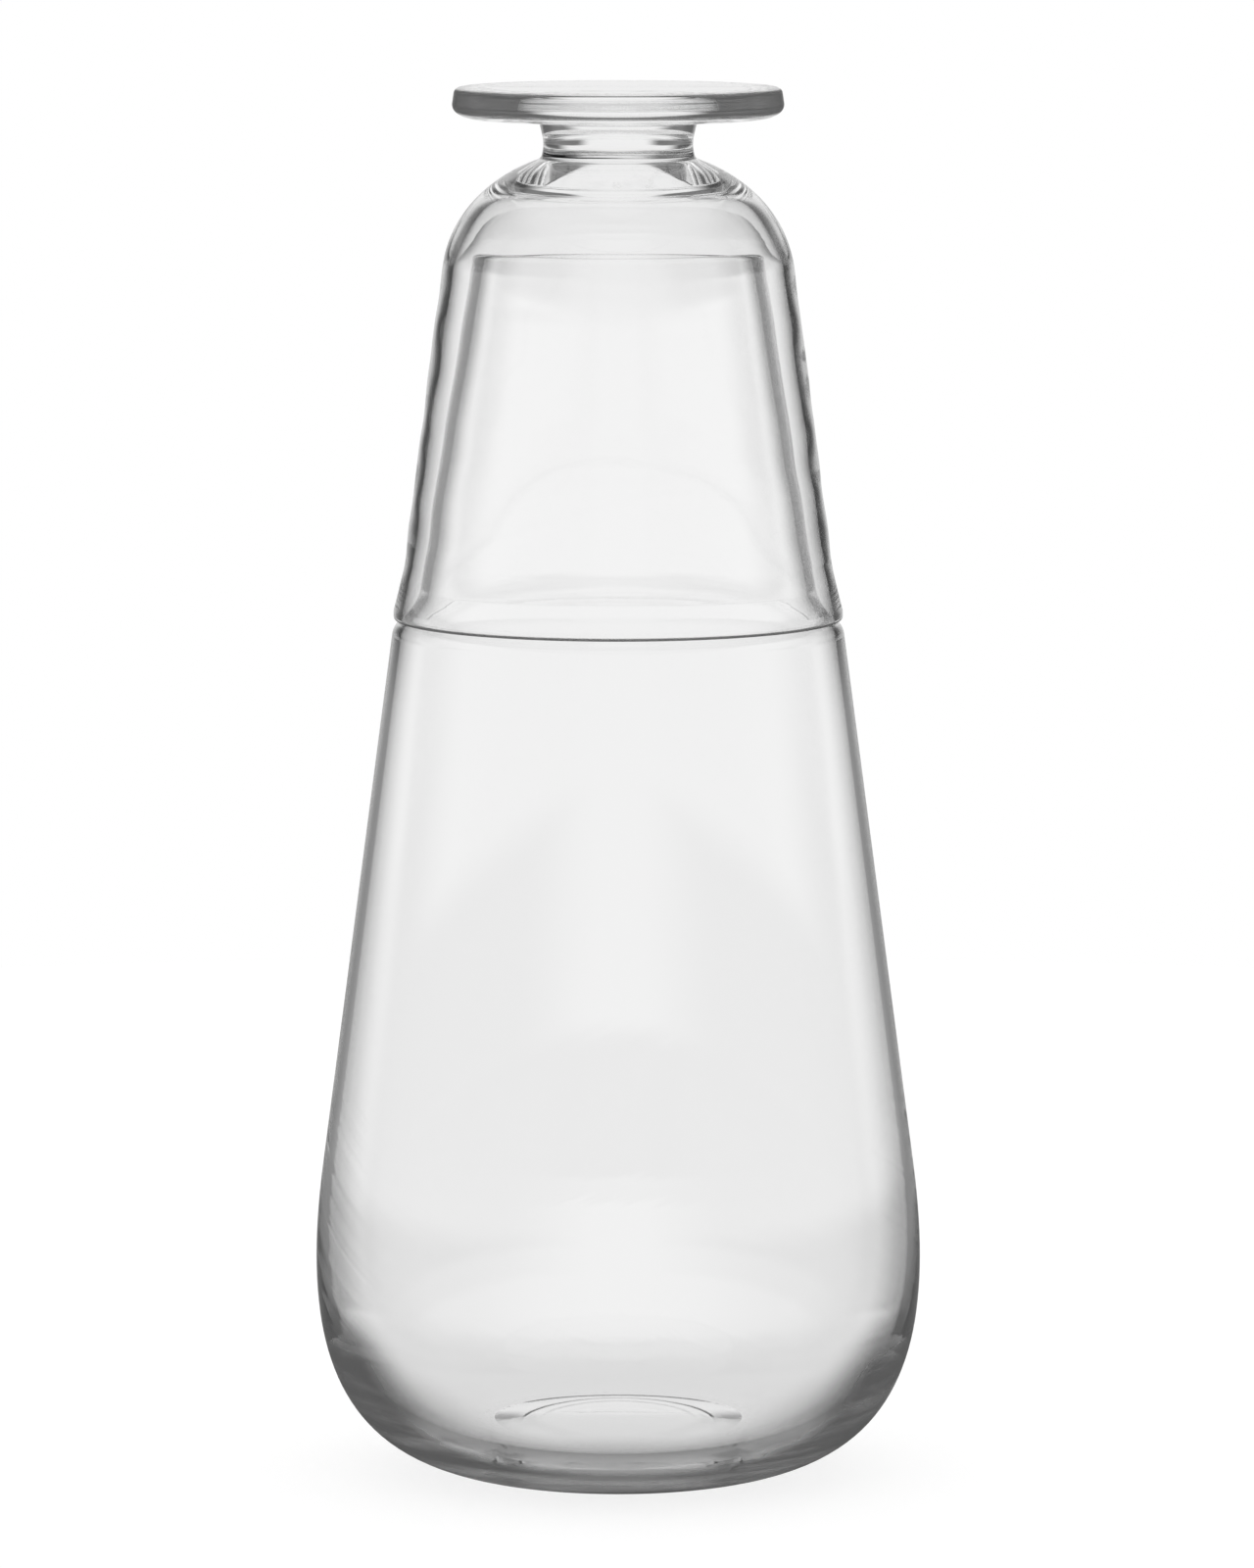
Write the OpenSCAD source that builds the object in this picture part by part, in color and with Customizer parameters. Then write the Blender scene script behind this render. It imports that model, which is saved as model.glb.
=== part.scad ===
// Bedside carafe of clear blown glass, with its footed tumbler turned over the neck as a lid.
// Millimetres, +Z up. The origin is on the axis, at the surface that the carafe stands on.
// Each piece is turned from one outline of [radius, height] points, which runs up the outside
// of the glass and back along its inside, so every wall is as thick as its named value.

/* [Carafe body] */
// Height of the shoulder corner, where the body's straight wall ends
shoulder_z = 159.6; // [150:0.1:170]
// Outer radius at the shoulder corner
shoulder_r = 42.15; // [38:0.05:46]
// Lean of the body's wall away from upright, wider downwards, in degrees
body_angle = 7.57; // [4:0.01:10]
// Height where the rounded heel runs into the straight wall
heel_z = 57.9; // [50:0.1:70]
// How far the heel's curve follows the lean of the wall
heel_high_reach = 34.4; // [24:0.1:40]
// How far the heel's curve follows its slope at the standing ring
heel_low_reach = 26.7; // [18:0.1:30]
// Slope at which the heel leaves the standing ring, in degrees
heel_angle = 7.2; // [4:0.1:14]
// Outer radius of the ring that the carafe stands on
ring_r = 26.6; // [22:0.1:32]
// Width of the standing ring
ring_w = 2.2; // [1.5:0.1:6]
// Rise of the punt, the hollow under the base
punt_h = 4.6; // [1:0.1:5]

/* [Carafe neck] */
// Height of the mouth
mouth_z = 230.3; // [215:0.1:245]
// Outer radius at the mouth
mouth_r = 26.95; // [24:0.05:30]
// How far the shoulder runs in from its corner to the foot of the neck
shoulder_w = 4.75; // [3.5:0.05:6]
// Slope of the shoulder that the tumbler sits on, in degrees
shoulder_angle = 45; // [38:1:52]
// Rounding of the shoulder corner
shoulder_round = 3; // [1:0.1:4]
// Rounding where the shoulder sweeps up into the neck
neck_round = 8; // [4:0.1:10]

/* [Carafe glass] */
// Wall at the mouth
mouth_wall = 2.2; // [1.6:0.05:3]
// Wall at the foot of the neck
neck_wall = 1.7; // [1.2:0.05:2.5]
// Wall at the shoulder corner
shoulder_wall = 1.65; // [1.2:0.05:2.5]
// Wall where the heel starts
heel_wall = 2; // [1.5:0.05:3]
// How far the inner curve of the heel follows the lean of the wall
heel_inner_reach = 35; // [26:0.1:38]
// How far the inner curve of the heel follows the floor
floor_reach = 26; // [18:0.1:29]
// Radius of the floor's edge inside, where the heel's inner curve starts
floor_r = 22; // [16:0.1:26]
// Height of the floor's edge
floor_z = 5.6; // [5:0.1:10]
// Glass between the punt and the floor, at the centre
base_wall = 3.4; // [2.5:0.1:8]

/* [Tumbler bowl] */
// Height of the upright band at the rim
rim_band_h = 1.6; // [1:0.1:2.5]
// Height of the corner where the flared rim turns into the straight wall
flare_h = 9; // [8:0.1:12]
// Rounding of that corner
flare_round = 60; // [20:1:90]
// Rounding at the top of the rim band
rim_band_round = 3; // [1:0.1:5]
// Wall at the rim
rim_wall = 1.65; // [1.2:0.05:2.4]
// Wall at the flare
flare_wall = 1.4; // [1.1:0.05:2.4]
// Wall where the dome starts
dome_wall = 2; // [1.5:0.05:3]
// Height of the dome, from the end of the straight wall up to the stem
dome_h = 20.4; // [17:0.1:24]
// How far the dome's curve follows the straight wall
dome_low_reach = 10.1; // [7:0.1:12]
// How far the dome's curve follows its slope at the stem
dome_high_reach = 10.1; // [7:0.1:12]
// Slope at which the dome reaches the stem, in degrees
dome_angle = 18.3; // [10:0.1:25]
// Thickness of the bowl's floor under the stem
bowl_floor = 6.2; // [5:0.1:10]
// Radius of the even part of the bowl's floor
bowl_floor_r = 19; // [15:0.1:21]
// How far the inner curve of the dome follows that floor
bowl_floor_reach = 5.5; // [3:0.1:8]
// How far the inner curve of the dome follows the wall
dome_inner_reach = 5; // [3:0.1:9]

/* [Tumbler foot] */
// Radius of the joint between stem and bowl
joint_r = 14.5; // [12:0.1:17]
// Height of the stem, from the bowl to the underside of the foot
stem_h = 6.7; // [5:0.1:10]
// Height of the waist above the joint
waist_h = 2.8; // [1.5:0.1:3.5]
// How far the waist is drawn in from the joint
waist_in = 0.7; // [0.2:0.05:1.5]
// Rounding of the waist
waist_round = 6; // [3:0.1:8]
// How far the stem spreads from the waist to the foot
stem_spread = 0.9; // [0.3:0.05:2]
// Outer radius of the foot
foot_r = 30.9; // [26:0.1:36]
// Thickness of the foot at the stem
foot_h = 6.45; // [5.5:0.05:9]
// Width of the band where the underside curves up into the edge
foot_curve_w = 4.6; // [3:0.1:7]
// How much the foot thins from the stem to that band
foot_thinning = 0.6; // [0.1:0.05:1.5]
// Height of the seam line round the edge, below the standing face
seam_drop = 3.1; // [2:0.1:3.4]
// How far the edge draws in above the seam line
edge_draw = 0.45; // [0.1:0.05:1]
// Rounding of the edge on the standing side
foot_high_round = 1.2; // [0.4:0.1:2]
// Width of the ring that the upright tumbler stands on
foot_ring_w = 4.4; // [3:0.1:7]
// Depth of the dished middle of the standing face
foot_dish = 1.1; // [0.3:0.05:2]

/* [Fit of the tumbler on the carafe] */
// Gap between the rim and the shoulder that it sits on
seat_gap = 0.15; // [0.05:0.01:0.3]
// How far the rim stays inside the shoulder corner
rim_inset = 0.1; // [0:0.05:0.4]
// Gap round the neck at the flare
flare_gap = 2.25; // [1.4:0.05:3.2]
// Gap round the neck where the dome starts
dome_gap = 3.3; // [1.5:0.1:4.5]
// Room between the mouth and the bowl's floor
headroom = 10.8; // [5:0.1:15]

/* [Hidden] */
$fn = 120;
glass_colour = "azure";

// Segments of a curve and of a rounded corner
curve_steps = 28;
corner_steps = 6;
// Most of a side that a rounding may take up, where the corner at its other end is rounded or not
shared_side_share = 0.49;
free_side_share = 0.98;
// How far the curve under the foot's edge holds its two directions, as a share of its size
foot_curve_share = 0.6;
// Rounding of a rim's two edges, as a share of its wall
rim_round_share = 0.45;

// Corners of the carafe's outside, from the ring up to the mouth
ring = [ring_r, 0];
heel = [shoulder_r + (shoulder_z - heel_z) * tan(body_angle), heel_z];
shoulder = [shoulder_r, shoulder_z];
neck = shoulder + shoulder_w * [-1, tan(shoulder_angle)];
mouth = [mouth_r, mouth_z];
// Corners of its inside, each one wall in from the outside
mouth_in = mouth - [mouth_wall, 0];
neck_in = inset(shoulder, neck, mouth, neck_wall);
shoulder_in = inset(heel, shoulder, neck, shoulder_wall);
heel_in = heel + heel_wall * left_of(unit(shoulder - heel));
floor_edge = [floor_r, floor_z];
floor_middle = [0, punt_h + base_wall];

// The rim's inner edge rests on the shoulder, seat_gap away from it
rim_r = shoulder_r - rim_inset;
rim_round = rim_round_share * rim_wall;
rim_centre_r = rim_r - rim_wall + rim_round;
seat_z = shoulder_z + (shoulder_r - rim_centre_r) * tan(shoulder_angle);
rim_z = seat_z + (rim_round + seat_gap) / cos(shoulder_angle) - rim_round;

// Heights of the tumbler follow from the mouth below its floor
bowl_floor_z = mouth_z + headroom;
joint_z = bowl_floor_z + bowl_floor;
dome_z = joint_z - dome_h;
flare_z = rim_z + flare_h;
foot_z = joint_z + stem_h;
foot_top_z = foot_z + foot_h;

// Corners of the bowl's outside, from the rim up to the stem
rim = [rim_r, rim_z];
rim_band = [rim_r, rim_z + rim_band_h];
flare = [neck_r_at(flare_z) + flare_gap + flare_wall, flare_z];
dome = [neck_r_at(dome_z) + dome_gap + dome_wall, dome_z];
joint = [joint_r, joint_z];
// Corners of its inside
rim_in = rim - [rim_wall, 0];
rim_band_in = inset(rim, rim_band, flare, rim_wall);
flare_in = inset(rim_band, flare, dome, flare_wall);
dome_in = dome + dome_wall * left_of(unit(dome - flare));
bowl_floor_edge = [bowl_floor_r, bowl_floor_z];

// Corners of the foot
waist = joint + [-waist_in, waist_h];
stem_top = [waist[0] + stem_spread, foot_z];
foot_curve_start = [foot_r - foot_curve_w, foot_z + foot_thinning];
seam = [foot_r, foot_top_z - seam_drop];
foot_high_edge = [foot_r - edge_draw, foot_top_z];
dish_edge = foot_high_edge - [foot_ring_w + foot_high_round, 0];
dish_middle = [0, foot_top_z - foot_dish];

// A vector's direction, and the direction to its left
function unit(v) = v / norm(v);
function left_of(v) = [-v[1], v[0]];
function turned(v, angle) = [v[0] * cos(angle) - v[1] * sin(angle), v[0] * sin(angle) + v[1] * cos(angle)];

// The point that lies one wall to the left of corner p in the line a, p, b
function inset(a, p, b, wall) =
    let (n = left_of(unit(p - a)), m = left_of(unit(b - p)))
    p + wall * (n + m) / (1 + n * m);

// Outer radius of the neck at a height
function neck_r_at(z) = neck[0] + (mouth[0] - neck[0]) * (z - neck[1]) / (mouth[1] - neck[1]);

// Smooth curve from a to d, which leaves a towards b and comes to d from c
function curve(a, b, c, d) = [
    for (i = [0:curve_steps]) let (t = i / curve_steps, s = 1 - t)
        s * s * s * a + 3 * s * s * t * b + 3 * s * t * t * c + t * t * t * d
];

// Arc in place of corner p, which reaches no further along its two sides than it may
function rounded_corner(a, p, b, radius, most_to_a, most_to_b) =
    let (
        u = unit(a - p), v = unit(b - p),
        half = acos(u * v) / 2,
        reach = min(radius / tan(half), most_to_a * norm(a - p), most_to_b * norm(b - p)),
        centre = p + unit(u + v) * reach / cos(half),
        from = p + u * reach - centre,
        sweep = sign(cross(v, u)) * (180 - 2 * half)
    )
    [for (i = [0:corner_steps]) centre + turned(from, sweep * i / corner_steps)];

// Share of its side that a rounding may take up towards another corner
function side_share(corner) = corner[1] == 0 ? free_side_share : shared_side_share;

// Line through corners given as [point, rounding], where a rounding of 0 keeps the corner
function rounded(corners) = [
    for (i = [0:len(corners) - 1])
        let (before = corners[i - 1], here = corners[i], after = corners[i + 1])
        each here[1] == 0
            ? [here[0]]
            : rounded_corner(before[0], here[0], after[0], here[1], side_share(before), side_share(after))
];

// Shallow dome from its edge to its middle on the axis, an arc of one circle
function crown(edge, middle) =
    let (
        rise = middle[1] - edge[1],
        radius = (edge[0] * edge[0] + rise * rise) / (2 * rise),
        span = asin(edge[0] / radius)
    )
    [for (i = [0:corner_steps]) let (a = span * (1 - i / corner_steps))
        [radius * sin(a), middle[1] - radius * (1 - cos(a))]];

// Items of a list, from first to last
function slice(items, first, last) = [for (i = [first:last]) items[i]];

// Turns an outline into glass
module turned_glass(outline) {
    color(glass_colour) rotate_extrude() polygon(outline);
}

// Carafe: punt, standing ring, round heel, leaning wall, shoulder, neck and open mouth
module carafe() {
    lean = unit(shoulder - heel);
    heel_start = [cos(heel_angle), sin(heel_angle)];
    punt_edge = ring - [ring_w, 0];
    underside = [for (i = [0:corner_steps]) crown(punt_edge, [0, punt_h])[corner_steps - i]];
    outside = curve(ring, ring + heel_low_reach * heel_start, heel - heel_high_reach * lean, heel);
    neck_and_mouth = rounded([
        [heel, 0],
        [shoulder, shoulder_round],
        [neck, neck_round],
        [mouth, rim_round_share * mouth_wall],
        [mouth_in, rim_round_share * mouth_wall],
        [neck_in, neck_round],
        [shoulder_in, shoulder_round],
        [heel_in, 0]
    ]);
    inside = curve(heel_in, heel_in - heel_inner_reach * lean, floor_edge + [floor_reach, 0], floor_edge);
    turned_glass(concat(
        underside,
        outside,
        slice(neck_and_mouth, 1, len(neck_and_mouth) - 2),
        inside,
        slice(crown(floor_edge, floor_middle), 1, corner_steps)
    ));
}

// Bowl of the tumbler, mouth down: flared rim, straight wall, thick dome with a flat for the stem
module tumbler_bowl() {
    wall_up = unit(dome - flare);
    dome_end = [cos(dome_angle), -sin(dome_angle)];
    outer_wall = rounded([
        [rim_in, 0],
        [rim, rim_round],
        [rim_band, rim_band_round],
        [flare, flare_round],
        [dome, 0]
    ]);
    inner_wall = rounded([
        [dome_in, 0],
        [flare_in, flare_round],
        [rim_band_in, rim_band_round],
        [rim_in, rim_round],
        [rim, 0]
    ]);
    turned_glass(concat(
        slice(outer_wall, 1, len(outer_wall) - 2),
        curve(dome, dome + dome_low_reach * wall_up, joint + dome_high_reach * dome_end, joint),
        [[0, joint_z], [0, bowl_floor_z]],
        curve(
            bowl_floor_edge, bowl_floor_edge + [bowl_floor_reach, 0],
            dome_in + dome_inner_reach * wall_up, dome_in
        ),
        slice(inner_wall, 1, len(inner_wall) - 2)
    ));
}

// Foot of the tumbler: short waisted stem under a thick disc with a seam line and a dished face
module tumbler_foot() {
    stem = rounded([[joint, 0], [waist, waist_round], [stem_top, 0]]);
    underside = unit(foot_curve_start - stem_top);
    low_edge = curve(
        foot_curve_start, foot_curve_start + foot_curve_share * foot_curve_w * underside,
        seam - [0, foot_curve_share * (seam[1] - foot_curve_start[1])], seam
    );
    high_edge = rounded([[seam, 0], [foot_high_edge, foot_high_round], [dish_edge, 0]]);
    turned_glass(concat(
        [[0, joint_z]],
        stem,
        low_edge,
        slice(high_edge, 1, len(high_edge) - 1),
        slice(crown(dish_edge, dish_middle), 1, corner_steps)
    ));
}

carafe();
tumbler_bowl();
tumbler_foot();
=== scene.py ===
from math import acos, cos, pi, radians, sin, tan

import bmesh
import bpy
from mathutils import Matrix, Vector, noise
from mathutils.geometry import interpolate_bezier


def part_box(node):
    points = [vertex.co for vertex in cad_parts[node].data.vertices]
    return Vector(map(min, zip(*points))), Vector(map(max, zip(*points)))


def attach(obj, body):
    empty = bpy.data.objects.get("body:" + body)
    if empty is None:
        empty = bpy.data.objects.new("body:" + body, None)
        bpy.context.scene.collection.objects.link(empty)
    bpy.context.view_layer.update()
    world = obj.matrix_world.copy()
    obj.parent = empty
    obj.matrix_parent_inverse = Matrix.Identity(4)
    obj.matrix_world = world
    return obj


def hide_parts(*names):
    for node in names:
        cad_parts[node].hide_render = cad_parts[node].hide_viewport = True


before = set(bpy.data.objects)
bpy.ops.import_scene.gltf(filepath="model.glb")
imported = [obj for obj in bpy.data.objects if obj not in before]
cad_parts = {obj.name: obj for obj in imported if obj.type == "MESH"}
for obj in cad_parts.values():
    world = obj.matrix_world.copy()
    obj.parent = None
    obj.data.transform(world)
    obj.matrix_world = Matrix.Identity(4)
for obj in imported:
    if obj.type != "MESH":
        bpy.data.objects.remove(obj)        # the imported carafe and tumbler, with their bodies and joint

# Bedside carafe of clear blown glass, its footed tumbler turned over the neck.
# Metres, +Z up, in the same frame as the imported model.

scene = bpy.context.scene
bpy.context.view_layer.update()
mm = 0.001


# camera

photoView = {
    "sideways": 1.65 * mm,     # camera's place, left to right
    "distance": 1738 * mm,     # in front of the carafe's axis
    "height": 338.4 * mm,      # above the table
    "lookHeight": 130 * mm,    # height on the axis that it looks at
    "lens": 214.3,             # millimetres, on a 36 mm sensor
}


def makeCamera(view):
    lens = bpy.data.cameras.new("photoCamera")
    lens.lens = view["lens"]
    lens.sensor_width = 36
    lens.clip_end = 50
    camera = bpy.data.objects.new("photoCamera", lens)
    camera.location = (view["sideways"], -view["distance"], view["height"])
    down = Vector((0, view["distance"], view["lookHeight"] - view["height"]))
    camera.rotation_euler = down.to_track_quat("-Z", "Y").to_euler()
    scene.collection.objects.link(camera)
    scene.camera = camera


makeCamera(photoView)
print("camera placed")


# shader sockets as Python values

class Wire:
    def __init__(self, tree, socket=None):
        self.tree, self.socket = tree, socket

    # any node: its settings go in first, then values or wires for its inputs
    def node(self, kind, settings=None, inputs=None, output=0):
        made = self.tree.nodes.new(kind)
        for name, value in (settings or {}).items():
            setattr(made, name, value)
        for name, value in (inputs or {}).items():
            if isinstance(value, Wire):
                self.tree.links.new(value.socket, made.inputs[name])
            else:
                made.inputs[name].default_value = value
        return Wire(self.tree, made.outputs[output] if made.outputs else None)

    def other(self, name):  # another output of the same node
        return Wire(self.tree, self.socket.node.outputs[name])

    def maths(self, operation, *values):
        return self.node("ShaderNodeMath", {"operation": operation}, dict(enumerate(values)))

    def __add__(self, value):
        return self.maths("ADD", self, value)

    def __radd__(self, value):
        return self.maths("ADD", value, self)

    def __sub__(self, value):
        return self.maths("SUBTRACT", self, value)

    def __rsub__(self, value):
        return self.maths("SUBTRACT", value, self)

    def __mul__(self, value):
        return self.maths("MULTIPLY", self, value)

    def __rmul__(self, value):
        return self.maths("MULTIPLY", value, self)

    def __pow__(self, value):
        return self.maths("POWER", self, value)

    def atMost(self, value):
        return self.maths("MINIMUM", self, value)

    def atLeast(self, value):
        return self.maths("MAXIMUM", self, value)

    # 0 below start, 1 above end, smooth between them
    def rise(self, start, end):
        return self.node(
            "ShaderNodeMapRange", {"interpolation_type": "SMOOTHSTEP"},
            {"Value": self, "From Min": start, "From Max": end},
        )

    def mixColour(self, first, second):
        return self.node(
            "ShaderNodeMix", {"data_type": "RGBA"}, {"Factor": self, 6: first, 7: second}, 2,
        )

    def mixShader(self, first, second):
        return self.node("ShaderNodeMixShader", None, {0: self, 1: first, 2: second})


def grey(level):
    return (level, level, level, 1)


def openTree(holder):  # an empty node tree to build in
    holder.use_nodes = True
    holder.node_tree.nodes.clear()
    return Wire(holder.node_tree)


# studio

# angles are in degrees from straight behind the glass, unless a note says otherwise
studio = {
    "white": 0.86,                     # the white panel behind, as clear glass shows it
    "panelEdge": (24, 40),             # where it ends
    "highEdge": (14, 24),              # and where it ends above the light boxes
    "gap": (0.24, 0.06),               # the dark gap beside it, low down and higher up
    "boxes": 1.02,                     # the light boxes round the sides and the front
    "boxEdge": (44, 56),               # where they begin, low down and higher up
    "boxFull": 82,                     # and where they are full
    "boxRadius": 130 * mm,
    "boxRise": (136 * mm, 166 * mm),   # between low down and higher up
    "boxFront": (122, 172),            # in front they reach down to the table
    "boxBottom": (42 * mm, 58 * mm),   # where they begin upwards
    "boxTop": (240 * mm, 248 * mm),    # and where they end
    "ringSides": 128,
    "dim": 0.13,                       # the dark room above them
    "front": 0.65,                     # which is lighter on the camera's side
    "frontEdge": (130, 160),
    "overhead": 0.8,                   # and under the soft light overhead
    "overheadEdge": (35, 58),          # degrees up where that begins and is full
    "floorRadius": 0.7,
    "floorSides": 96,
    "floorDrop": 0.2 * mm,
    "floorGlow": 0.8,
    "floorShade": 0.25,                # share of its white that a shadow can take
    "strip": (34 * mm, 0.5),           # white table behind: half width, and spread
    "stripFront": (-45 * mm, -10 * mm),     # where it starts, in front of the axis
    "stripSoften": (13 * mm, 0.1),     # soft edge, and how it widens going back
    "tableDim": 0.17,                  # the table beside the white strip
    "paintedTableShadow": (0.15, 30 * mm, 125 * mm),    # painted shadow, darker near the glass: how much, from and to
    "tableFar": (115 * mm, 130 * mm),  # where it takes the level of what stands there
}


def glassRay(tree):  # 1 on rays that glass has reflected or bent
    path = tree.node("ShaderNodeLightPath")
    return path.other("Is Glossy Ray").atLeast(path.other("Is Transmission Ray"))


def between(angle, edges):  # 0 below the first of two angles in degrees, 1 above the second
    return angle.rise(*(radians(edge) for edge in edges))


def turnFrom(tree, axes):  # 0 straight behind the glass, pi towards the camera
    return tree.maths("ABSOLUTE", tree.maths("ARCTAN2", axes, axes.other("Y")))


def boxLight(turn, height, plan):  # round the table: the panel, its dark gaps, the boxes
    up = height.rise(*plan["boxRise"])
    lowGap, highGap = plan["gap"]
    gap = up * (highGap - lowGap) + lowGap
    lowEdge, highEdge = (radians(angle) for angle in plan["boxEdge"])
    boxes = turn.rise(up * (highEdge - lowEdge) + lowEdge, radians(plan["boxFull"]))
    boxes = boxes * height.rise(*plan["boxBottom"]).atLeast(between(turn, plan["boxFront"]))
    panel = (1 - between(turn, plan["panelEdge"])) * (plan["white"] - gap)
    return panel + boxes * (plan["boxes"] - gap) + gap


def roomLight(turn, plan):  # above the boxes
    dim = plan["dim"]
    panel = (1 - between(turn, plan["highEdge"])) * (plan["white"] - dim)
    return panel + between(turn, plan["frontEdge"]) * (plan["front"] - dim) + dim


def makeWorld(plan):
    world = bpy.data.worlds.new("studio")
    scene.world = world
    w = openTree(world)
    toward = w.node("ShaderNodeTexCoord", None, None, "Generated")
    axes = w.node("ShaderNodeSeparateXYZ", None, {0: toward})
    room = roomLight(turnFrom(w, axes), plan)
    up = axes.other("Z").rise(*(sin(radians(angle)) for angle in plan["overheadEdge"]))
    level = 1 + glassRay(w) * (room.atLeast(up * plan["overhead"]) - 1)
    light = w.node("ShaderNodeBackground", None, {"Color": grey(1), "Strength": level})
    w.node("ShaderNodeOutputWorld", None, {"Surface": light})


makeWorld(studio)


def stagePiece(bm, name, paint):  # a piece of the studio, which no export takes
    mesh = bpy.data.meshes.new(name)
    bm.to_mesh(mesh)
    bm.free()
    mesh.materials.append(paint)
    piece = bpy.data.objects.new(name, mesh)
    scene.collection.objects.link(piece)
    return piece


def ringPaint(plan):
    paint = bpy.data.materials.new("lightRing")
    p = openTree(paint)
    place = p.node("ShaderNodeTexCoord", None, None, "Object")
    axes = p.node("ShaderNodeSeparateXYZ", None, {0: place})
    turn = turnFrom(p, axes)
    low, high = boxLight(turn, axes.other("Z"), plan), roomLight(turn, plan)
    level = low + axes.other("Z").rise(*plan["boxTop"]) * (high - low)
    glow = p.node("ShaderNodeEmission", None, {"Color": level})
    p.node("ShaderNodeOutputMaterial", None, {"Surface": glow})
    return paint


# the ring of panel and light boxes, which only the glass shows
def makeRing(plan):
    bm = bmesh.new()
    bmesh.ops.create_circle(bm, segments=plan["ringSides"], radius=plan["boxRadius"])
    wall = bmesh.ops.extrude_edge_only(bm, edges=bm.edges[:])["geom"]
    top = [part for part in wall if isinstance(part, bmesh.types.BMVert)]
    bmesh.ops.translate(bm, verts=top, vec=(0, 0, plan["boxTop"][1]))
    ring = stagePiece(bm, "lightRing", ringPaint(plan))
    ring.visible_camera = ring.visible_diffuse = ring.visible_shadow = False


makeRing(studio)


def tableLight(p, place, plan):  # the table as glass shows it, a glowing pattern: a white strip going back, a dim table beside it, and a painted shadow near the glass
    axes = p.node("ShaderNodeSeparateXYZ", None, {0: place})
    back = axes.other("Y").atLeast(0)
    width, spread = plan["strip"]
    soften, softening = plan["stripSoften"]
    past = p.maths("ABSOLUTE", axes) - width - axes.other("Y") * spread
    edge = p.maths("DIVIDE", past, back * softening + soften)
    strip = edge.rise(1, -1) * axes.other("Y").rise(*plan["stripFront"])
    paintedShadow, near, far = plan["paintedTableShadow"]
    distance = p.node("ShaderNodeVectorMath", {"operation": "LENGTH"}, {0: place}, "Value")
    # painted shadow: the table's glow is darker near the glass
    bright = plan["white"] * (1 - paintedShadow + paintedShadow * distance.rise(near, far))
    table = strip * (bright - plan["tableDim"]) + plan["tableDim"]
    beyond = boxLight(turnFrom(p, axes), axes.other("Z"), plan)
    return table + distance.rise(*plan["tableFar"]) * (beyond - table)


def makeFloor(plan):
    bm = bmesh.new()
    bmesh.ops.create_circle(
        bm, cap_ends=True, segments=plan["floorSides"], radius=plan["floorRadius"],
    )
    bmesh.ops.translate(bm, verts=bm.verts, vec=(0, 0, -plan["floorDrop"]))
    paint = bpy.data.materials.new("paleFloor")
    p = openTree(paint)
    glow = p.node("ShaderNodeEmission", None, {"Strength": plan["floorGlow"]})
    matt = p.node("ShaderNodeBsdfDiffuse", None, {"Color": grey(plan["floorShade"])})
    seen = p.node("ShaderNodeAddShader", None, {0: glow, 1: matt})
    place = p.node("ShaderNodeTexCoord", None, None, "Object")
    throughGlass = p.node("ShaderNodeEmission", None, {"Color": tableLight(p, place, plan)})
    both = glassRay(p).mixShader(seen, throughGlass)
    p.node("ShaderNodeOutputMaterial", None, {"Surface": both})
    stagePiece(bm, "floor", paint)


makeFloor(studio)
print("studio built")


# outlines in the XZ plane, spun round the axis

def onOutline(radius, height):
    return Vector((radius, 0, height))


spinning = {
    "guard": 0.15 * mm,          # from a curve's end to the loop that holds the straight
    "straight": 3 * mm,          # stretches longer than this are held at both ends
    "nearest": 0.75 * mm,        # shortest neighbour that a holding loop can split
    "roundSteps": 6,
    "crease": radians(40),
    "weld": 0.001 * mm,
}


def leftOf(direction):
    return Vector((-direction.z, 0, direction.x))


def insetCorner(before, corner, after, wall):  # one wall inside a corner
    n = leftOf((corner - before).normalized())
    m = leftOf((after - corner).normalized())
    return corner + (n + m) * wall / (1 + n.dot(m))


def curve(start, startHandle, endHandle, end, steps):  # its points up to, but without, the end
    return interpolate_bezier(start, startHandle, endHandle, end, steps)[:-1]


def spinGlass(name, outline, segments, rework=None):
    # outline: points, or (point, rounding) for a corner that the bevel rounds off
    stops = [stop if isinstance(stop, tuple) else (stop, 0) for stop in outline]
    bm = bmesh.new()
    corners = [bm.verts.new(point) for point, _ in stops]
    for a, b in zip(corners, corners[1:]):
        bm.edges.new((a, b))
    for i, (point, rounding) in enumerate(stops):
        if rounding:
            a = (stops[i - 1][0] - point).normalized()
            b = (stops[i + 1][0] - point).normalized()
            reach = rounding / tan(acos(a.dot(b)) / 2)
            bmesh.ops.bevel(
                bm, geom=[corners[i]], offset=reach, offset_type="OFFSET",
                segments=spinning["roundSteps"], profile=0.5,
                affect="VERTICES", material=-1, clamp_overlap=True,
            )
    # long straight stretches keep their own normals up to the curves beside them
    for edge in [edge for edge in bm.edges if edge.calc_length() > spinning["straight"]]:
        for end in edge.verts[:]:
            rest = next(e for e in end.link_edges if e.calc_length() > spinning["nearest"])
            bmesh.utils.edge_split(rest, end, spinning["guard"] / rest.calc_length())
    bmesh.ops.spin(
        bm, geom=bm.verts[:] + bm.edges[:], cent=(0, 0, 0), axis=(0, 0, 1),
        angle=2 * pi, steps=segments,
        use_merge=True, use_duplicate=False,
    )
    bmesh.ops.remove_doubles(bm, verts=bm.verts, dist=spinning["weld"])
    bmesh.ops.recalc_face_normals(bm, faces=bm.faces)
    if rework:
        rework(bm)
    mesh = bpy.data.meshes.new(name)
    bm.to_mesh(mesh)
    bm.free()
    mesh.shade_smooth()
    mesh.set_sharp_from_angle(angle=spinning["crease"])
    piece = bpy.data.objects.new(name, mesh)
    scene.collection.objects.link(piece)
    return piece


# clear blown glass, with a dark matt layer of painted shade over its thick parts and edges

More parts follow.
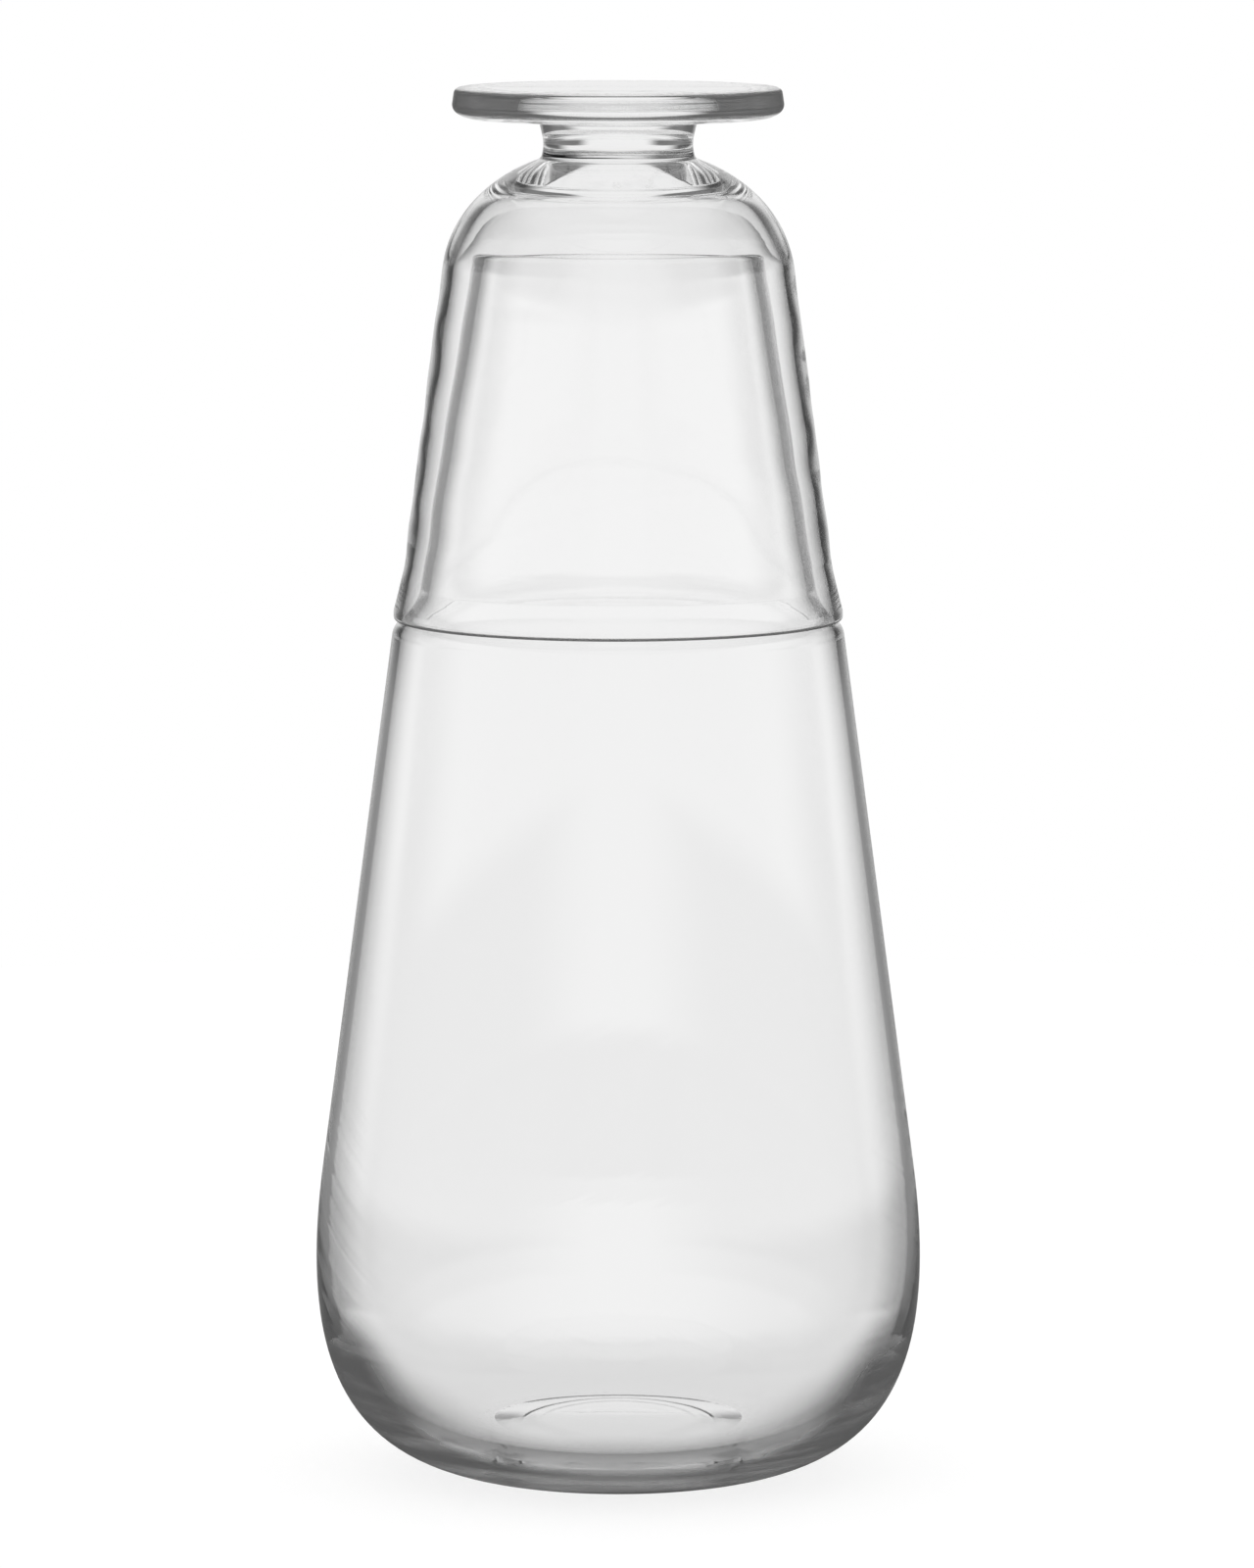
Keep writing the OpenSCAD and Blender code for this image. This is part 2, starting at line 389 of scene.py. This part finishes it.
glassLook = {
    "ior": 1.5,
    "paintedShadeLayer": (0.1, 0.1, 0.1, 1),        # painted shade: a dark matt layer over thick glass and edges, for the camera only
    "edge": (0.76, 0.93),              # from facing the eye, 0, to edge on, 1
    "edgePaintedShade": 0.3,
    "sideSlope": (0.9, 0.6),           # from level faces to those that count as sides
    "scuff": 0.3,                      # roughness where the glass stands on a table
    "scuffGrain": 900,
    "scuffSpread": (0.4, 0.7),
}

carafeLook = {
    "heelEdge": (0.35, 0.6),           # as edge, on the heel, which turns to the table
    "heelDown": (0.03, 0.22),
    "heelDark": (0.74, 0.99),          # painted shade on the heel, least and most, in streaks along the heel
    "heelStretch": (14, 14, 260),
    "heelSpread": (0.3, 0.6),
    "streakHeight": 0.028 * mm,        # drawn streaks that wind round above the heel
    "streakGrain": 110,
    "streakStretch": (1, 1, 0.05),
    "streakTwist": 40,                 # radians a metre
    "streakZone": ((22 * mm, 34 * mm), (84 * mm, 62 * mm)),
    "baseHeight": 0.06 * mm,           # uneven pour of the thick base
    "baseStretch": (40, 90, 40),
    "baseZone": (9 * mm, 6 * mm),
    "standing": (0.5 * mm, 0.1 * mm),
}

tumblerLook = {
    "rimZone": (0.75 * mm, 0.45 * mm),     # painted shade line, above the rim
    "rimDark": 0.9,
    "footZone": (253.6 * mm, 254.2 * mm),
    "footEdge": (0.14, 0.22),
    "footDark": 0.88,
    "turnHeight": 0.004 * mm,          # turning lines round the bowl, stem and foot
    "turnStretch": (30, 30, 420),
    "foldHeight": 0.03 * mm,           # folds in the thick floor, round the joint
    "foldStretch": (22, 22, 240),
    "foldZone": (234 * mm, 241 * mm),
    "standing": (260.2 * mm, 260.42 * mm),
}


def stretched(g, place, scale):
    return g.node("ShaderNodeVectorMath", {"operation": "MULTIPLY"}, {0: place, 1: scale})


def grain(g, place, scale=1, detail=2):
    inputs = {"Vector": place, "Scale": scale, "Detail": detail}
    return g.node("ShaderNodeTexNoise", None, inputs, "Fac")


def bump(g, height):
    inputs = {"Height": height, "Distance": 1.0, "Strength": 1.0}
    return g.node("ShaderNodeBump", None, inputs, "Normal")


def surfaceFacts(g):  # what the relief and painted shade below go by
    place = g.node("ShaderNodeTexCoord", None, None, "Object")
    normal = g.node("ShaderNodeNewGeometry", None, None, "Normal")
    upright = g.node("ShaderNodeSeparateXYZ", None, {0: normal}).other("Z")
    return {
        "place": place,
        "height": g.node("ShaderNodeSeparateXYZ", None, {0: place}).other("Z"),
        "facing": g.node("ShaderNodeLayerWeight", None, {"Blend": 0.5}, "Facing"),
        "upright": upright,
        "side": g.maths("ABSOLUTE", upright).rise(*glassLook["sideSlope"]),
    }


# each of these gives the relief of its piece, and where a dark matt layer is painted over it as painted
# shade, mostly on its thick glass
def carafeReliefAndPaintedShade(g, look, face):
    place, height = face["place"], face["height"]
    turning = {"Vector": place, "Angle": height * look["streakTwist"]}
    turned = g.node("ShaderNodeVectorRotate", {"rotation_type": "Z_AXIS"}, turning)
    low, high = look["streakZone"]
    streaks = grain(g, stretched(g, turned, look["streakStretch"]), look["streakGrain"])
    streaks = streaks * height.rise(*low) * height.rise(*high) * look["streakHeight"]
    poured = grain(g, stretched(g, place, look["baseStretch"]))
    poured = poured * height.rise(*look["baseZone"]) * look["baseHeight"]
    # painted shade: the heel's band, which turns to the table, is mostly laid over with the dark matt
    # layer
    least, most = look["heelDark"]
    heelShadeStreaks = grain(g, stretched(g, place, look["heelStretch"]), 1, 3)
    heelShadeStreaks = heelShadeStreaks.rise(*look["heelSpread"]) * (most - least) + least
    down = (0 - face["upright"]).rise(*look["heelDown"])
    return bump(g, streaks + poured), face["facing"].rise(*look["heelEdge"]) * down * heelShadeStreaks


def tumblerReliefAndPaintedShade(g, look, face):
    place, height = face["place"], face["height"]
    foot = height.rise(*look["footZone"])
    lines = grain(g, stretched(g, place, look["turnStretch"])) * look["turnHeight"]
    folds = grain(g, stretched(g, place, look["foldStretch"]))
    folds = folds * height.rise(*look["foldZone"]) * (1 - foot) * look["foldHeight"]
    # painted shade on the upright ends of the thick foot
    paintedFootEnds = face["facing"].rise(*look["footEdge"]) * foot * face["side"] * look["footDark"]
    # painted shade: a dark line just above the rim
    rim = (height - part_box("tumbler_bowl")[0].z).rise(*look["rimZone"]) * look["rimDark"]
    return bump(g, lines + folds), paintedFootEnds.atLeast(rim)


def makeGlass(name, look, reliefAndPaintedShade):
    paint = bpy.data.materials.new(name)
    g = openTree(paint)
    face = surfaceFacts(g)
    relief, paintedShadeMask = reliefAndPaintedShade(g, look, face)
    # painted shade along the glass's edges, from any view
    edge = face["facing"].rise(*glassLook["edge"]) * face["side"] * glassLook["edgePaintedShade"]
    scuffs = grain(g, face["place"], glassLook["scuffGrain"]).rise(*glassLook["scuffSpread"])
    worn = face["height"].rise(*look["standing"]) * scuffs * glassLook["scuff"]
    clear = g.node(
        "ShaderNodeBsdfPrincipled", None,
        {"Base Color": grey(1), "Roughness": worn, "IOR": glassLook["ior"],
         "Transmission Weight": 1.0, "Normal": relief},
    )
    paintedShadeLayer = g.node("ShaderNodeBsdfDiffuse", None, {"Color": glassLook["paintedShadeLayer"]})
    seen = g.node("ShaderNodeLightPath")  # straight from the camera
    # painted shade: where the masks say, camera rays see the dark matt layer instead of the clear glass
    glass = (edge.atLeast(paintedShadeMask) * seen).mixShader(clear, paintedShadeLayer)
    g.node("ShaderNodeOutputMaterial", None, {"Surface": glass})
    return paint


carafeGlass = makeGlass("carafeGlass", carafeLook, carafeReliefAndPaintedShade)
tumblerGlass = makeGlass("tumblerGlass", tumblerLook, tumblerReliefAndPaintedShade)


# carafe

carafeShape = {
    "shoulderHeight": 159.6 * mm,
    "shoulderRadius": 42.15 * mm,
    "bodyLean": radians(7.57),
    "heelHeight": 57.9 * mm,
    "heelReaches": (26.7 * mm, 34.4 * mm),    # along the ring's slope, down the wall
    "heelSlope": radians(7.2),
    "ringRadius": 26.6 * mm,
    "ringWidth": 2.2 * mm,
    "puntRise": 4.6 * mm,
    "mouthRadius": 26.95 * mm,
    "shoulderWidth": 4.75 * mm,
    "shoulderSlope": radians(45),
    "shoulderRound": 3 * mm,
    "neckRound": 8 * mm,
    "mouthWall": 2.2 * mm,
    "neckWall": 1.7 * mm,
    "shoulderWall": 1.65 * mm,
    "heelWall": 2 * mm,
    "innerReaches": (35 * mm, 26 * mm),       # down the wall, out along the floor
    "floorEdge": (22 * mm, 5.6 * mm),         # radius and height
    "baseWall": 3.4 * mm,
    "ringRound": 0.6 * mm,
    "lipShare": 0.45,                         # of the wall, as the mouth's rounding
    "puntReach": 0.5,                         # handles as shares of a radius
    "ringPull": (-0.2, 0.06),
    "floorReaches": (0.3, 0.5),
    "steps": (16, 40),                        # points of a small and a large curve
    "sides": 384,
}


def makeCarafe(c):
    low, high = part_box("carafe")
    ring = onOutline(c["ringRadius"], low.z)
    shoulder = onOutline(c["shoulderRadius"], c["shoulderHeight"])
    drop = c["shoulderHeight"] - c["heelHeight"]
    heel = shoulder + onOutline(drop * tan(c["bodyLean"]), -drop)
    neck = shoulder + c["shoulderWidth"] * onOutline(-1, tan(c["shoulderSlope"]))
    mouth = onOutline(c["mouthRadius"], high.z)
    lean = (shoulder - heel).normalized()
    heelStart = onOutline(cos(c["heelSlope"]), sin(c["heelSlope"]))
    mouthIn = mouth - onOutline(c["mouthWall"], 0)
    neckIn = insetCorner(shoulder, neck, mouth, c["neckWall"])
    shoulderIn = insetCorner(heel, shoulder, neck, c["shoulderWall"])
    heelIn = heel + c["heelWall"] * leftOf(lean)
    floorEdge = onOutline(*c["floorEdge"])
    lip = c["lipShare"] * c["mouthWall"]
    ringIn = ring - onOutline(c["ringWidth"], 0)
    puntTop = onOutline(0, c["puntRise"])
    floorTop = onOutline(0, c["puntRise"] + c["baseWall"])
    outward, downward = c["heelReaches"]
    wallward, floorward = c["innerReaches"]
    edgeward, middleward = c["floorReaches"]
    few, many = c["steps"]
    puntHandle = onOutline(ringIn.x * c["puntReach"], puntTop.z)
    ringHandle = ringIn + onOutline(*c["ringPull"]) * ringIn.x
    floorHandle = floorEdge + onOutline(floorward, 0)
    edgeHandle = floorEdge - onOutline(edgeward * floorEdge.x, 0)
    middleHandle = onOutline(middleward * floorEdge.x, floorTop.z)
    outline = [
        *curve(puntTop, puntHandle, ringHandle, ringIn, few),
        (ringIn, c["ringRound"]),
        *curve(ring, ring + heelStart * outward, heel - lean * downward, heel, many),
        heel,
        (shoulder, c["shoulderRound"]),
        (neck, c["neckRound"]),
        (mouth, lip),
        (mouthIn, lip),
        (neckIn, c["neckRound"]),
        (shoulderIn, c["shoulderRound"]),
        *curve(heelIn, heelIn - lean * wallward, floorHandle, floorEdge, many),
        *curve(floorEdge, edgeHandle, middleHandle, floorTop, few),
        floorTop,
    ]
    piece = spinGlass("carafeGlass", outline, c["sides"])
    piece.data.materials.append(carafeGlass)
    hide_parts("carafe")
    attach(piece, "carafe")


makeCarafe(carafeShape)
print("carafe blown")


# tumbler

tumblerShape = {
    "rimWall": 1.65 * mm,
    "rimBandHeight": 1.6 * mm,
    "rimBandRound": 3 * mm,
    "flareHeight": 9 * mm,
    "flareRound": 60 * mm,
    "flareRadius": 40.2 * mm,
    "flareWall": 1.4 * mm,
    "domeHeight": 20.4 * mm,
    "domeRadius": 32.8 * mm,
    "domeWall": 2 * mm,
    "domeReaches": (10.1 * mm, 10.1 * mm),
    "domeSlope": radians(18.3),
    "floorThickness": 6.2 * mm,
    "innerReaches": (5.5 * mm, 5 * mm),         # out along the floor, down the wall
    "innerFloorRadius": 19 * mm,
    "jointRadius": 14.3 * mm,
    "jointRound": 1.2 * mm,
    "waistHeight": 2.8 * mm,
    "waistIn": 0.5 * mm,
    "waistRound": 6 * mm,
    "stemSpread": 0.9 * mm,
    "stemHeight": 6.7 * mm,
    "footCurveWidth": 4.6 * mm,
    "footThinning": 0.6 * mm,
    "seamDrop": 3.1 * mm,
    "edgeDraw": 0.45 * mm,
    "footHighRound": 1.2 * mm,
    "footRingWidth": 4.4 * mm,
    "footDish": 1.1 * mm,
    "stemRound": 0.4 * mm,
    "lipShare": 0.45,                           # of the wall, as the rim's rounding
    "footReach": 0.6,                           # handles as shares of what they span
    "dishPull": (-0.3, -0.04),
    "dishReach": 0.4,
    "steps": (28, 24, 14, 10),                  # points inside, on the dome, foot, dish
    "wallSteps": 36,
    "wallStart": 3,                             # steps left free above the flare
    "sides": 480,
    "rippleSize": 0.24 * mm,
    "rippleLength": 7 * mm,
    "rippleTurn": 0.8,
    "rippleEnds": (3 * mm, 6 * mm),             # from above the rim to past the wall
    "rippleFade": (6 * mm, 10 * mm),
}


def rippleWall(t, low, high):  # the soft waves that blowing leaves in the wall
    def move(bm):
        fadeIn, fadeOut = t["rippleFade"]
        for vert in bm.verts:
            height = vert.co.z
            fade = max(0, min(1, (height - low) / fadeIn, (high - height) / fadeOut))
            if fade:
                around = Vector((vert.co.x, vert.co.y, 0)).normalized()
                place = around * t["rippleTurn"] + onOutline(0, height / t["rippleLength"])
                vert.co += around * fade * t["rippleSize"] * noise.noise(place)
    return move


def makeTumbler(t):
    low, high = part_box("tumbler_bowl")
    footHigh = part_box("tumbler_foot")[1]
    rim = onOutline(high.x, low.z)
    joint = onOutline(t["jointRadius"], high.z)
    band = rim + onOutline(0, t["rimBandHeight"])
    flare = onOutline(t["flareRadius"], low.z + t["flareHeight"])
    dome = onOutline(t["domeRadius"], high.z - t["domeHeight"])
    wallUp = (dome - flare).normalized()
    rimIn = rim - onOutline(t["rimWall"], 0)
    bandIn = insetCorner(rim, band, flare, t["rimWall"])
    flareIn = insetCorner(band, flare, dome, t["flareWall"])
    domeIn = dome + t["domeWall"] * leftOf(wallUp)
    floorIn = onOutline(t["innerFloorRadius"], joint.z - t["floorThickness"])
    waist = joint + onOutline(-t["waistIn"], t["waistHeight"])
    stemTop = onOutline(waist.x + t["stemSpread"], joint.z + t["stemHeight"])
    footCurve = onOutline(footHigh.x - t["footCurveWidth"], stemTop.z + t["footThinning"])
    seam = onOutline(footHigh.x, footHigh.z - t["seamDrop"])
    footEdge = onOutline(footHigh.x - t["edgeDraw"], footHigh.z)
    dish = footEdge - onOutline(t["footRingWidth"] + t["footHighRound"], 0)
    dishMiddle = onOutline(0, footHigh.z - t["footDish"])
    lip = t["lipShare"] * t["rimWall"]
    domeEnd = onOutline(cos(t["domeSlope"]), -sin(t["domeSlope"]))
    underside = (footCurve - stemTop).normalized()
    innerSteps, domeSteps, footSteps, dishSteps = t["steps"]
    floorward, wallward = t["innerReaches"]
    domeward, jointward = t["domeReaches"]
    footHandle = footCurve + underside * t["footReach"] * t["footCurveWidth"]
    seamHandle = seam - onOutline(0, t["footReach"] * (seam.z - footCurve.z))
    dishHandle = dish + onOutline(*t["dishPull"]) * dish.x
    middleHandle = onOutline(t["dishReach"] * dish.x, dishMiddle.z)
    floorHandle = floorIn + onOutline(floorward, 0)
    ripple = rippleWall(t, rim.z + t["rippleEnds"][0], dome.z + t["rippleEnds"][1])
    outline = [
        onOutline(0, floorIn.z),
        *curve(floorIn, floorHandle, domeIn + wallUp * wallward, domeIn, innerSteps),
        domeIn,
        (flareIn, t["flareRound"]),
        (bandIn, t["rimBandRound"]),
        (rimIn, lip),
        (rim, lip),
        (band, t["rimBandRound"]),
        (flare, t["flareRound"]),
        *(flare.lerp(dome, i / t["wallSteps"]) for i in range(t["wallStart"], t["wallSteps"])),
        *curve(dome, dome + wallUp * domeward, joint + domeEnd * jointward, joint, domeSteps),
        (joint, t["jointRound"]),
        (waist, t["waistRound"]),
        (stemTop, t["stemRound"]),
        *curve(footCurve, footHandle, seamHandle, seam, footSteps),
        seam,
        (footEdge, t["footHighRound"]),
        *curve(dish, dishHandle, middleHandle, dishMiddle, dishSteps),
        dishMiddle,
    ]
    piece = spinGlass("tumblerGlass", outline, t["sides"], ripple)
    piece.data.materials.append(tumblerGlass)
    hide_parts("tumbler_bowl", "tumbler_foot")
    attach(piece, "tumbler")


makeTumbler(tumblerShape)
print("tumbler blown and footed")


# render look

scene.view_settings.view_transform = "Standard"
scene.cycles.max_bounces = 32
scene.cycles.transmission_bounces = 32
scene.cycles.glossy_bounces = 24
